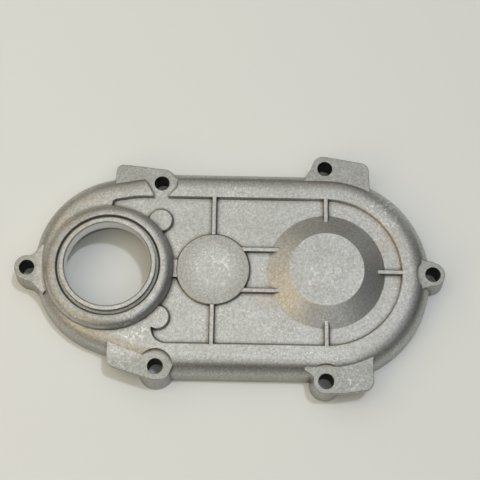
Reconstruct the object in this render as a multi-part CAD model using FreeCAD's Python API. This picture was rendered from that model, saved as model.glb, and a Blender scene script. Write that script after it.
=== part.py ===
import FreeCAD, Part
import math
import os

# Final-drive gearbox cover, one die casting.  Millimetres.
# Origin on the output bore axis in the plane of the mating face; X runs along
# the line of the three shafts, Z points away from the gear case.

# --- heights above the mating face -------------------------------------------
panel_z = 13.0            # floor of the recessed panel and top of every lug
rim_z = panel_z + 1.8     # rim and stiffening ribs
disc_z = panel_z + 1.5    # round pad over the middle shaft
cone_z = 18.3             # flat top of the cone over the input shaft
crown_z = 19.4            # crown of the rounded boss round the bore
collar_z = 20.8           # seal collar
roof_z = 9.4              # ceiling of the gear cavity
tool_z = rim_z + 1.0      # tops of the tools that cut the face

# --- plan of the body ----------------------------------------------------------
far_x = 101.5             # input shaft axis
mid_x = 48.6              # middle shaft axis
half_width = 50.0
near_x, near_y = 7.1, 3.9  # centre of the rounded end at the bore
near_step = 6.7           # that end is rounder than the far one by this much
near_r = half_width - near_step
upper_slope = 10.5        # side lines that lead into the rounded end, degrees
lower_slope = 20.3
sweep_r = 30.0
wall_draft = 4.0
shoulder_r = 10.0

# --- bore, collar and rounded boss ---------------------------------------------
seal_r = 20.0
seal_depth = 8.2
lead_in = 0.5
collar_r = 22.3
bearing_r = 23.5
groove_r, groove_z = 23.5, 17.8
crown_r = 25.5
crown_round = 4.6
boss_foot_r = 30.3

# --- cone and disc, with the bearing pockets behind them -----------------------
cone_foot_r, cone_top_r = 27.6, 17.4
cone_edge = 0.6
disc_r = 16.9
far_pocket_r, far_pocket_depth = 20.0, 11.5
relief_r, relief_depth = 12.0, 14.0
mid_pocket_r, mid_pocket_depth = 11.0, 10.5

# --- recess, ribs and raised lands ---------------------------------------------
recess_half = 34.9
recess_x = 1.0
recess_draft = 25.0
rib = 1.8
rib_draft = 12.0
tie_y = 9.9               # the two ribs between disc and cone
bridge = 8.4              # short bridge between boss and disc
lobe_x, lobe_y, lobe_r = 23.4, 23.5, 5.3
land_x = 21.6
floor_r = 0.5

# --- bolt lugs: centre, radius of the pad, radius of the foot -------------------
bolt_r = 3.5
spot_r = 7.9
lug_draft = 5.0
ear = 4.0                 # thickness of the overhanging ears
end_span, end_y = 190.0, -0.3           # the bolts on the two ends
end_x = 56.6
far_span, far_bolt_x = 103.4, 101.3     # the pair at the cone
near_span, near_bolt_x, near_bolt_y = 88.8, 23.3, -1.7
lugs = {
    "near": (end_x - end_span / 2, end_y, 5.8, 6.9),
    "far": (end_x + end_span / 2, end_y, 5.6, 6.8),
    "far_upper": (far_bolt_x, far_span / 2, 5.9, 7.0),
    "far_lower": (far_bolt_x, -far_span / 2, 5.7, 7.0),
    "near_upper": (near_bolt_x, near_bolt_y + near_span / 2, 7.2, 8.3),
    "near_lower": (near_bolt_x, near_bolt_y - near_span / 2, 6.2, 8.5),
}

# --- underside -------------------------------------------------------------------
flange = 6.0              # width of the mating face at the rim
cavity_draft = 3.0
cavity_round = 3.0
cavity_x = -8.0           # the gear cavity ends beside the bore
inner_wall = 4.5          # walls round the bearing pockets
web = 3.0                 # ties between the pockets and the side walls
web_z = 4.0


def tan(degrees):
    return math.tan(math.radians(degrees))


def rounded(corners, z, inset=0.0):
    """Closed wire at height z through counter-clockwise corners (x, y, radius),
    moved inwards by inset."""
    points = [FreeCAD.Vector(x, y, z) for x, y, radius in corners]
    arcs = []
    for i, (x, y, radius) in enumerate(corners):
        back = (points[i - 1] - points[i]).normalize()
        ahead = (points[(i + 1) % len(points)] - points[i]).normalize()
        half = back.getAngle(ahead) / 2
        bisector = (back + ahead).normalize()
        convex = 1 if ahead.cross(back).z > 0 else -1
        tip = points[i] + bisector * (convex * inset / math.sin(half))
        radius = max(radius - convex * inset, 0.0) if radius else 0.0
        centre = tip + bisector * (radius / math.sin(half))
        reach = radius / math.tan(half)
        arcs.append((tip + back * reach, centre - bisector * radius, tip + ahead * reach, radius))
    edges = []
    for i, (start, middle, end, radius) in enumerate(arcs):
        if radius > 0:
            edges.append(Part.Arc(start, middle, end).toShape())
        following = arcs[(i + 1) % len(arcs)][0]
        if end.distanceToPoint(following) > 1e-5:
            edges.append(Part.makeLine(end, following))
    return Part.Wire(edges)


def prism(corners, z_low, z_high, draft=0.0, inset=0.0):
    """Solid between two heights; a positive draft narrows it upwards."""
    low = rounded(corners, z_low, inset)
    high = rounded(corners, z_high, inset + (z_high - z_low) * tan(draft))
    return Part.makeLoft([low, high], True, True)


def bar(x_low, x_high, y_low, y_high):
    return [(x_low, y_low, 0), (x_high, y_low, 0), (x_high, y_high, 0), (x_low, y_high, 0)]


def frustum(x, y, z_low, z_high, r_low, r_high):
    return Part.makeCone(r_low, r_high, z_high - z_low, FreeCAD.Vector(x, y, z_low))


def cylinder(x, y, z_low, z_high, radius):
    return Part.makeCylinder(radius, z_high - z_low, FreeCAD.Vector(x, y, z_low))


def side(angle, distance=None):
    """Side line of the plan: its normal and distance.  Without a distance it
    touches the rounded end."""
    c, s = math.cos(math.radians(angle)), math.sin(math.radians(angle))
    if distance is None:
        distance = near_x * c + near_y * s + near_r
    return c, s, distance


def meet(first, second, radius):
    a, b, e = first
    c, d, f = second
    det = a * d - b * c
    return (e * d - b * f) / det, (a * f - e * c) / det, radius


# --- body: drafted shell with a broad rounded shoulder --------------------------
sides = [
    side(0, far_x + half_width),
    side(90, half_width),
    side(90 + upper_slope),
    side(180),
    side(270 - lower_slope),
    side(270, half_width),
]
radii = [half_width, sweep_r, near_r, near_r, sweep_r, half_width]
plan = [meet(sides[i], sides[(i + 1) % 6], radii[i]) for i in range(6)]
body = prism(plan, 0, rim_z, wall_draft)
body = body.makeFillet(shoulder_r, [e for e in body.Edges if e.BoundBox.ZMin > rim_z - 0.01])

# --- lugs: drafted columns, webs into the wall and thin overhanging ears ---------
pieces = []
for x, y, pad_r, foot_r in lugs.values():
    pieces.append(frustum(x, y, 0, panel_z, foot_r, pad_r))
near_web = [
    (-39.4, -6.4, 0), (-35.6, -7.2, 5.0), (-30.0, -12.8, 0), (-20.0, 0.0, 0),
    (-31.6, 11.5, 0), (-36.0, 5.4, 5.0), (-39.4, 5.2, 0),
]
far_web = [
    (152.6, 5.5, 0), (147.4, 6.7, 0), (143.0, 10.0, 0), (130.0, 0.0, 0),
    (143.0, -10.0, 0), (147.4, -6.7, 0), (152.6, -5.5, 0),
]
far_upper_web = [
    (106.5, 40.0, 0), (106.5, 57.3, 5.0), (97.3, 58.3, 5.0), (92.8, 47.4, 4.0),
    (89.5, 44.2, 0), (89.5, 40.0, 0),
]
far_lower_web = [
    (91.0, -40.0, 0), (91.5, -46.6, 0), (95.8, -49.6, 3.0), (96.6, -57.3, 4.5),
    (107.0, -57.3, 4.5), (107.0, -40.0, 0),
]
for corners in (near_web, far_web, far_upper_web, far_lower_web):
    pieces.append(prism(corners, 0, panel_z, lug_draft, -panel_z * tan(lug_draft)))
near_upper_ear = [
    (1.0, 38.0, 0), (23.0, 38.0, 0), (24.0, 49.8, 0), (1.4, 52.3, 3.4),
]
far_upper_ear = [
    (96.0, 38.0, 0), (122.8, 38.0, 0), (122.3, 54.3, 4.0), (103.0, 57.6, 0), (96.0, 52.0, 0),
]
far_lower_ear = [
    (99.0, -38.0, 0), (99.0, -57.3, 3.0), (109.0, -57.2, 9.0), (123.0, -54.9, 4.0),
    (123.0, -38.0, 0),
]
near_lower_ear = [
    (0.8, -34.0, 0), (1.0, -45.7, 4.0), (21.0, -52.0, 8.0), (28.5, -52.5, 4.5),
    (31.8, -44.5, 2.0), (31.8, -34.0, 0),
]
for corners in (near_upper_ear, far_upper_ear, far_lower_ear, near_lower_ear):
    pieces.append(prism(corners, panel_z - ear, panel_z))
near_land = [
    (panel_z - ear, -18.0), (rim_z, -18.0), (rim_z, -29.0), (panel_z + 0.7, -34.0),
    (panel_z, -34.8), (panel_z - ear, -34.8),
]
near_land = Part.makePolygon([FreeCAD.Vector(0.8, y, z) for z, y in near_land + near_land[:1]])
pieces.append(Part.Face(near_land).extrude(FreeCAD.Vector(20.0, -4.8, 0)))
body = body.fuse(pieces)

# --- spot faces cut into the shoulder beside the lugs ------------------------------
cuts = []
for name in ("far", "far_lower", "near_lower"):
    x, y, pad_r, foot_r = lugs[name]
    cuts.append(cylinder(x, y, panel_z, tool_z, spot_r))
channel = [
    (19.6, 32.0, 0), (26.7, 32.0, 0), (26.7, 35.7, 1.5), (31.1, 40.6, 5.0), (31.1, 54.0, 0),
    (14.6, 54.0, 0), (14.6, 45.4, 0), (19.6, 36.4, 1.0),
]
cuts.append(prism(channel, panel_z, tool_z))

# --- recessed panel: one pocket less everything that stands in it -------------------
recess = [
    (recess_x, -recess_half, 0), (far_x + recess_half, -recess_half, recess_half),
    (far_x + recess_half, recess_half, recess_half), (12.0, recess_half, 30.0),
    (recess_x, recess_half - 2.0, 1.5),
]
standing = []
half_rib = rib / 2
for corners in (
    bar(mid_x - half_rib, mid_x + half_rib, 0, half_width),
    bar(mid_x - half_rib, mid_x + half_rib, -half_width, 0),
    bar(far_x - half_rib, far_x + half_rib, 0, half_width),
    bar(far_x - half_rib, far_x + half_rib, -half_width, 0),
    bar(far_x, far_x + half_width, -half_rib, half_rib),
    bar(mid_x, far_x, tie_y - half_rib, tie_y + half_rib),
    bar(mid_x, far_x, -tie_y - half_rib, -tie_y + half_rib),
    bar(boss_foot_r - 3, mid_x, -bridge / 2, bridge / 2),
):
    low = panel_z - 1.0
    standing.append(prism(corners, low, tool_z, rib_draft, (low - rim_z) * tan(rib_draft)))
land = [
    (-5.0, -half_width, 0), (mid_x, -half_width, 0), (mid_x, -recess_half, 0),
    (land_x, -recess_half, 6.0), (land_x, -lobe_y, 0), (-5.0, -lobe_y, 0),
]
low = panel_z
standing.append(prism(land, low, tool_z, recess_draft))
for y in (lobe_y, -lobe_y):
    spread = (rim_z - panel_z) * tan(recess_draft)
    standing.append(frustum(lobe_x, y, panel_z, rim_z, lobe_r + spread, lobe_r))
    standing.append(cylinder(lobe_x, y, rim_z, tool_z, lobe_r))
standing.append(frustum(mid_x, 0, panel_z, disc_z, disc_r + 0.6, disc_r))
standing.append(cylinder(mid_x, 0, disc_z, tool_z, disc_r))
pocket = prism(recess, panel_z, tool_z, -recess_draft)
pocket = pocket.cut(standing)
floor_edges = [e for e in pocket.Edges if e.BoundBox.ZMax < panel_z + 0.01]
pocket = pocket.makeFillet(floor_r, floor_edges)
cuts.append(pocket)
cuts.append(cylinder(mid_x, 0, disc_z, tool_z, disc_r))
body = body.cut(cuts)

# --- rounded boss with its groove and the seal collar; the cone ---------------------
def section(radius, z):
    return FreeCAD.Vector(radius, 0, z)


def on_crown(angle):
    a = math.radians(angle)
    return section(crown_r + crown_round * math.cos(a), crown_z - crown_round + crown_round * math.sin(a))


core_r = seal_r - 5.0
foot_z = roof_z - 2.0
corners = [
    section(collar_r, groove_z), section(collar_r, collar_z), section(core_r, collar_z),
    section(core_r, foot_z), section(boss_foot_r, foot_z), section(boss_foot_r, panel_z),
    on_crown(8),
]
outline = [Part.makeLine(corners[i], corners[i + 1]) for i in range(6)]
outline.append(Part.Arc(on_crown(8), on_crown(50), on_crown(105)).toShape())
outline.append(Part.makeLine(on_crown(105), section(groove_r, groove_z)))
outline.append(Part.makeLine(section(groove_r, groove_z), corners[0]))
boss = Part.Face(Part.Wire(outline)).revolve(FreeCAD.Vector(0, 0, 0), FreeCAD.Vector(0, 0, 1), 360)
cone = frustum(far_x, 0, panel_z, cone_z, cone_foot_r, cone_top_r)
cone = cone.makeFillet(cone_edge, [e for e in cone.Edges if e.BoundBox.ZMin > cone_z - 0.01])
body = body.fuse([boss, cone])

# --- underside: gear cavity round the bearing walls and the tie webs ----------------
cavity = prism(plan, -1.0, roof_z, cavity_draft, flange)
cavity = cavity.makeFillet(cavity_round, [e for e in cavity.Edges if e.BoundBox.ZMin > roof_z - 0.01])
keep = [
    Part.makeBox(
        2 * half_width, 4 * half_width, 2 * roof_z,
        FreeCAD.Vector(cavity_x - 2 * half_width, -2 * half_width, -roof_z / 2),
    ),
    cylinder(0, 0, -2, roof_z + 2, bearing_r + inner_wall),
    cylinder(mid_x, 0, -2, roof_z + 2, mid_pocket_r + inner_wall),
    cylinder(far_x, 0, -2, roof_z + 2, far_pocket_r + inner_wall),
]
for name in ("near_upper", "near_lower"):
    x, y, pad_r, foot_r = lugs[name]
    keep.append(cylinder(x, y, -2, roof_z + 2, bolt_r + inner_wall))
for x in (mid_x, far_x):
    keep.append(Part.makeBox(web, 2 * half_width, roof_z, FreeCAD.Vector(x - web / 2, -half_width, web_z)))
keep.append(Part.makeBox(half_width, web, roof_z, FreeCAD.Vector(far_x, -web / 2, web_z)))
cavity = cavity.cut(keep)

# --- machined bores and bolt holes ---------------------------------------------------
seat_z = collar_z - seal_depth
bores = [
    cavity,
    cylinder(0, 0, -1, collar_z + 1, seal_r),
    cylinder(0, 0, -1, seat_z, bearing_r),
    frustum(0, 0, collar_z - lead_in, collar_z, seal_r, seal_r + lead_in),
    cylinder(mid_x, 0, -1, mid_pocket_depth, mid_pocket_r),
    cylinder(far_x, 0, -1, far_pocket_depth, far_pocket_r),
    cylinder(far_x, 0, -1, relief_depth, relief_r),
]
for x, y, pad_r, foot_r in lugs.values():
    bores.append(cylinder(x, y, -1, tool_z, bolt_r))
body = body.cut(bores)
body = body.Solids[0]
os.makedirs("parts", exist_ok=True)
body.exportStep("parts/gearbox_cover.step")
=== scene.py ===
import math

import bmesh
import bpy
from mathutils import Euler, Matrix, Vector


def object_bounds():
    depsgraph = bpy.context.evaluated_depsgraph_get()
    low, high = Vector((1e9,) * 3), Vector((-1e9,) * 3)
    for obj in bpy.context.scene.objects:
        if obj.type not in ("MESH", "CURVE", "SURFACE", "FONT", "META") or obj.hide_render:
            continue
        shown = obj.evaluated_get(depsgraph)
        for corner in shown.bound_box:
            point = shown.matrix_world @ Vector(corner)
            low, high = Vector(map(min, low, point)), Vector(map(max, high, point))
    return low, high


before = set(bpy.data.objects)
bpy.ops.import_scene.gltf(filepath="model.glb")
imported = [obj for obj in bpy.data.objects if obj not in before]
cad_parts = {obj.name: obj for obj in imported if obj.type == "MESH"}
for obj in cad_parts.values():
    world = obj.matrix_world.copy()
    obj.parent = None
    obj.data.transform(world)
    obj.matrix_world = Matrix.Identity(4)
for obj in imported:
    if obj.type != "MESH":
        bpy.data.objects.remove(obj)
cad_box = [[float(v) for v in corner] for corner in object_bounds()]

# Camera: it stands above the lower long side and looks down at the cover, tipped eighteen
# degrees off the vertical, with the bore on the left and the cone on the right.
view_tip = -0.314007
view_roll = 0.0051316
view_turn = -0.0170801
view_shift = Vector((0.061394, 0.017048, 0.547744))
view_axes = (
    Matrix.Rotation(view_turn, 3, "Z")
    @ Matrix.Rotation(view_tip, 3, "X")
    @ Matrix.Rotation(view_roll, 3, "Y")
).transposed()
camera_data = bpy.data.cameras.new("view")
camera_data.sensor_width = 36.0
camera_data.lens = 85.94
camera_data.clip_start = 0.01
camera = bpy.data.objects.new("view", camera_data)
camera.matrix_world = Matrix.Translation(view_axes @ view_shift) @ view_axes.to_4x4()
bpy.context.collection.objects.link(camera)
bpy.context.scene.camera = camera
bpy.context.scene.view_settings.view_transform = "Standard"

# Light: a small hard lamp high in the north east for the crisp shadows, and a ring of round
# soft boxes a metre off. The low western ones are warm and bright; the east is left dim.
lamp_data = bpy.data.lights.new("lamp", "SUN")
lamp_data.energy = 0.83
lamp_data.angle = math.radians(4.0)
lamp_data.color = (0.93, 0.98, 1.10)
lamp = bpy.data.objects.new("lamp", lamp_data)
lamp.rotation_euler = Vector((0.265, 0.19, 1.0)).to_track_quat("Z", "Y").to_euler()
lamp.visible_glossy = False
bpy.context.collection.objects.link(lamp)

middle = Vector((0.056, 0.0, 0.0))
box_wide = 0.6
box_face = math.pi * (box_wide / 2) ** 2
warm = (1.20, 1.03, 0.74)
sand = (1.11, 1.03, 0.83)
plain = (0.98, 1.0, 0.99)
soft_boxes = (  # name, rise and turn in degrees, level, tint
    ("north_east_low", 12, 45, 0.38, plain),
    ("north", 35, 90, 0.50, sand),
    ("north_west", 35, 135, 1.09, sand),
    ("west", 35, 180, 0.98, warm),
    ("south_west", 35, 225, 1.56, warm),
    ("over_east", 62, 0, 0.42, plain),
    ("over_north_east", 62, 60, 0.95, plain),
    ("over_north_west", 62, 120, 0.55, plain),
    ("over_west", 62, 180, 1.45, sand),
    ("over_south", 62, 300, 1.55, plain),
    ("ceiling", 88, 0, 1.10, plain),
)
for box_name, rise, turn, level, tint in soft_boxes:
    box_data = bpy.data.lights.new(box_name, "AREA")
    box_data.shape = "DISK"
    box_data.size = box_wide
    box_data.energy = level * math.pi * box_face
    box_data.color = tint
    box = bpy.data.objects.new(box_name, box_data)
    tipped = Euler((0.0, -math.radians(rise), math.radians(turn))).to_matrix()
    heading = tipped @ Vector((1.0, 0.0, 0.0))
    box.location = middle + heading
    box.rotation_euler = heading.to_track_quat("Z", "Y").to_euler()
    bpy.context.collection.objects.link(box)

room = bpy.data.worlds.new("room")
room.use_nodes = True
room_light = room.node_tree.nodes["Background"]
room_light.inputs["Color"].default_value = (1.0, 0.98, 0.94, 1.0)
room_light.inputs["Strength"].default_value = 0.04
bpy.context.scene.world = room

# Floor: a plain off-white painted board, laid flat just under the mating face. It is the
# ground the cover rests on and no part of the object.
floor_half = 2.0
floor_drop = 0.0001
floor_mesh = bpy.data.meshes.new("floor")
floor_shape = bmesh.new()
bmesh.ops.create_grid(floor_shape, x_segments=1, y_segments=1, size=floor_half)
floor_at = (middle.x, middle.y, cad_box[0][2] - floor_drop)
bmesh.ops.translate(floor_shape, verts=floor_shape.verts, vec=floor_at)
floor_shape.to_mesh(floor_mesh)
floor_shape.free()
floor = bpy.data.objects.new("floor", floor_mesh)
bpy.context.collection.objects.link(floor)
board = bpy.data.materials.new("painted_board")
board.use_nodes = True
board_shader = board.node_tree.nodes["Principled BSDF"]
board_shader.inputs["Base Color"].default_value = (0.685, 0.69, 0.66, 1.0)
board_shader.inputs["Roughness"].default_value = 0.6
floor_mesh.materials.append(board)

# Cover: one high-pressure aluminium die casting, blasted all over to a fine grain with painted glints.
# The bores, pockets and mating face are turned or milled after casting, and it has been used: oil
# has browned the near end and the high flats are scuffed. Painted shade darkens the inner corners,
# the steep sides, the bolt holes and the west of the crown round the bore.
cover = bpy.data.objects["gearbox_cover"]
casting = bpy.data.materials.new("blasted_casting")
casting.use_nodes = True
nodes = casting.node_tree.nodes
links = casting.node_tree.links
shader = nodes["Principled BSDF"]
shader.inputs["Metallic"].default_value = 1.0
place = nodes.new("ShaderNodeTexCoord")

bright = (0.90, 0.90, 0.88, 1.0)
panel_z = 0.0130
bore_at = (0.0, 0.0)
seal_r = 0.0200
disc_at = (0.0486, 0.0)
bolt_r = 0.0035


def noise(scale, detail, roughness=0.5):
    """Cloudy pattern fixed to the casting; scale is in features a metre."""
    made = nodes.new("ShaderNodeTexNoise")
    made.inputs["Scale"].default_value = scale
    made.inputs["Detail"].default_value = detail
    made.inputs["Roughness"].default_value = roughness
    links.new(place.outputs["Object"], made.inputs["Vector"])
    return made.outputs["Fac"]


def spread(value, low, high, to_low=0.0, to_high=1.0):
    """Stretches value from low..high onto to_low..to_high, held at both ends."""
    made = nodes.new("ShaderNodeMapRange")
    made.inputs["From Min"].default_value = low
    made.inputs["From Max"].default_value = high
    made.inputs["To Min"].default_value = to_low
    made.inputs["To Max"].default_value = to_high
    links.new(value, made.inputs["Value"])
    return made.outputs["Result"]


def feed(pairs):
    for socket, value in pairs:
        if isinstance(value, (int, float, tuple)):
            socket.default_value = value
        else:
            links.new(value, socket)


def reckon(operation, first, second=0.0):
    made = nodes.new("ShaderNodeMath")
    made.operation = operation
    feed(zip(made.inputs, (first, second)))
    return made.outputs["Value"]


def both(*masks):
    """Where every mask holds; a plain number weakens the result."""
    result = masks[0]
    for mask in masks[1:]:
        result = reckon("MULTIPLY", result, mask)
    return result


def blend(factor, first, second, mode="MIX"):
    made = nodes.new("ShaderNodeMix")
    made.data_type = "RGBA"
    made.blend_type = mode
    feed(zip((made.inputs[0], made.inputs[6], made.inputs[7]), (factor, first, second)))
    return made.outputs[2]


def dull(factor, colour, tint):
    """Colour darkened by tint where factor holds."""
    return blend(factor, colour, blend(1.0, colour, tint, "MULTIPLY"))


axes = nodes.new("ShaderNodeSeparateXYZ")
links.new(place.outputs["Object"], axes.inputs["Vector"])
plan = nodes.new("ShaderNodeCombineXYZ")
links.new(axes.outputs["X"], plan.inputs["X"])
links.new(axes.outputs["Y"], plan.inputs["Y"])
facing = nodes.new("ShaderNodeNewGeometry")
tilt = nodes.new("ShaderNodeSeparateXYZ")
links.new(facing.outputs["Normal"], tilt.inputs["Vector"])
upward = spread(tilt.outputs["Z"], 0.90, 0.99)


def distance(x, y):
    """Distance in plan from the axis at x, y."""
    made = nodes.new("ShaderNodeVectorMath")
    made.operation = "DISTANCE"
    made.inputs[1].default_value = (x, y, 0.0)
    links.new(plan.outputs["Vector"], made.inputs[0])
    return made.outputs["Value"]


# grain: crystals from a quarter to one millimetre; a few specks are painted bright as glints, a
# painted highlight
grain = reckon("ADD", both(noise(2600.0, 2.0, 0.6), 0.5), both(noise(900.0, 2.0, 0.55), 0.5))
metal = blend(spread(grain, 0.38, 0.62), (0.44, 0.442, 0.437, 1.0), (0.65, 0.655, 0.65, 1.0))
# painted highlight: scattered specks lifted to near white as glints of light
painted_glint = both(spread(noise(1500.0, 1.0), 0.62, 0.70), spread(noise(60.0, 3.0), 0.38, 0.60))
metal = blend(both(painted_glint, 0.75), metal, (0.92, 0.92, 0.90, 1.0))

# cloudy oxide a centimetre or two wide, and oil brown towards the near end
cloud = spread(noise(70.0, 4.0, 0.55), 0.36, 0.62)
metal = blend(cloud, blend(1.0, metal, (0.93, 0.925, 0.905, 1.0), "MULTIPLY"), metal)
oil = both(spread(axes.outputs["X"], 0.012, -0.030), spread(noise(120.0, 3.0, 0.6), 0.40, 0.62))
metal = dull(both(oil, 0.55), metal, (0.84, 0.77, 0.66, 1.0))

# scuffs: thin wandering scratches, strongest on the flats that stand proud of the panel
thread = spread(reckon("ABSOLUTE", reckon("SUBTRACT", noise(190.0, 2.0, 0.45), 0.5)), 0.014, 0.004)
proud = spread(axes.outputs["Z"], panel_z + 0.0005, panel_z + 0.0013, 0.15, 1.0)
scuff = both(thread, proud, spread(noise(85.0, 2.0), 0.50, 0.60), upward)
metal = blend(both(scuff, 0.5), metal, bright)

# handling marks: a rubbed ring on the disc; nicks on the far shoulder, the lower ear and the near
# land, drawn partly as painted glints; and faint brown stains beside the cone, on its near flank and
# by the bore
ring = spread(reckon("ABSOLUTE", reckon("SUBTRACT", distance(0.0505, -0.002), 0.0058)), 0.0008, 0.0002)
ring = both(ring, spread(noise(300.0, 2.0), 0.42, 0.60), upward)
metal = blend(both(ring, 0.5), metal, bright)
# nicks: worn spots, with their bright specks partly a painted highlight
for nick_x, nick_y, reach in ((0.129, 0.031, 0.012), (0.113, -0.054, 0.010), (0.012, -0.030, 0.010)):
    spot = spread(distance(nick_x, nick_y), reach, 0.0)
    nick_glint = both(spread(noise(620.0, 2.0), 0.56, 0.62), spread(spot, 0.1, 0.6))
    metal = blend(both(nick_glint, 0.7), metal, (0.93, 0.93, 0.91, 1.0))
for stain_x, stain_y, reach in ((0.129, 0.014, 0.014), (0.078, -0.010, 0.020), (-0.018, 0.026, 0.022)):
    spot = spread(distance(stain_x, stain_y), reach, 0.0)
    stain = both(spot, spread(noise(160.0, 3.0), 0.35, 0.60))
    metal = dull(both(stain, 0.55), metal, (0.95, 0.83, 0.72, 1.0))

# the outer part of the disc top is darker; painted shade darkens the west half of the crown round the
# bore
disc_r = distance(*disc_at)
bore_r = distance(*bore_at)
dull_disc = both(spread(disc_r, 0.0080, 0.0145), spread(disc_r, 0.0172, 0.0169))
# painted shade on the west half of the crown round the bore
crown_painted_shade = both(spread(bore_r, 0.0240, 0.0250), spread(bore_r, 0.0285, 0.0270))
crown_painted_shade = both(crown_painted_shade, spread(axes.outputs["X"], 0.018, 0.002))
metal = dull(both(dull_disc, 0.8), metal, (0.76, 0.74, 0.71, 1.0))
metal = dull(both(crown_painted_shade, 0.8), metal, (0.74, 0.74, 0.73, 1.0))

# painted shade: ambient occlusion darkens the inner corners, browner in places, and less in the wide
# groove
corner = nodes.new("ShaderNodeAmbientOcclusion")
corner.samples = 12
corner.only_local = True
corner.inputs["Distance"].default_value = 0.0024
groove = spread(bore_r, 0.0275, 0.0262, 1.0, 0.42)
corner_painted_shade = both(spread(corner.outputs["AO"], 0.94, 0.60), groove)
corner_shade_colour = blend(spread(noise(60.0, 2.0), 0.45, 0.6), (0.12, 0.115, 0.10, 1.0), (0.17, 0.125, 0.08, 1.0))
# painted shade laid into the inner corners
metal = blend(both(corner_painted_shade, 0.85), metal, corner_shade_colour)

# the tops of the lugs and ears are darker
outer_y = spread(reckon("ABSOLUTE", axes.outputs["Y"]), 0.0395, 0.0440)
outer_x = spread(reckon("ABSOLUTE", reckon("SUBTRACT", axes.outputs["X"], 0.0545)), 0.0850, 0.0905)
lug_top = spread(reckon("ABSOLUTE", reckon("SUBTRACT", axes.outputs["Z"], panel_z)), 0.0009, 0.0003)
metal = dull(both(reckon("MAXIMUM", outer_x, outer_y), lug_top), metal, (0.76, 0.765, 0.75, 1.0))

# painted shade: the steep sides are darkened by their slope, and the bolt holes are painted near black
steepness = reckon("ABSOLUTE", tilt.outputs["Z"])
# painted shade on the steep sides
metal = dull(both(spread(steepness, 0.45, 0.20), 0.9), metal, (0.78, 0.78, 0.77, 1.0))
bolt_places = (
    (-0.0384, -0.0003), (0.1516, -0.0003), (0.1013, 0.0517),
    (0.1013, -0.0517), (0.0233, 0.0427), (0.0233, -0.0461),
)
# painted shade: each bolt hole is painted near black
for bolt_x, bolt_y in bolt_places:
    hole_painted_shade = spread(distance(bolt_x, bolt_y), bolt_r + 0.0002, bolt_r)
    metal = blend(hole_painted_shade, metal, (0.05, 0.047, 0.042, 1.0))

# turned and milled faces: the wall of the bore and the mating face
bore_wall = both(spread(bore_r, seal_r + 0.0008, seal_r + 0.0007), spread(steepness, 0.8, 0.6))
mating = spread(axes.outputs["Z"], 0.0002, 0.0001)
turned = reckon("MAXIMUM", bore_wall, mating)
metal = blend(turned, metal, (0.72, 0.715, 0.69, 1.0))
links.new(metal, shader.inputs["Base Color"])

polish = nodes.new("ShaderNodeMix")
polish.inputs["B"].default_value = 0.32
links.new(turned, polish.inputs["Factor"])
links.new(spread(grain, 0.38, 0.62, 0.54, 0.44), polish.inputs["A"])
links.new(polish.outputs["Result"], shader.inputs["Roughness"])

# relief: every cast edge has a small round, and the grain stands up a few hundredths
edge = nodes.new("ShaderNodeBevel")
edge.samples = 8
edge.inputs["Radius"].default_value = 0.0006
relief = nodes.new("ShaderNodeBump")
relief.inputs["Strength"].default_value = 0.35
relief.inputs["Distance"].default_value = 0.0001
links.new(both(grain, spread(turned, 0.0, 1.0, 1.0, 0.1)), relief.inputs["Height"])
links.new(edge.outputs["Normal"], relief.inputs["Normal"])
links.new(relief.outputs["Normal"], shader.inputs["Normal"])
for slot in cover.material_slots:
    slot.material = casting
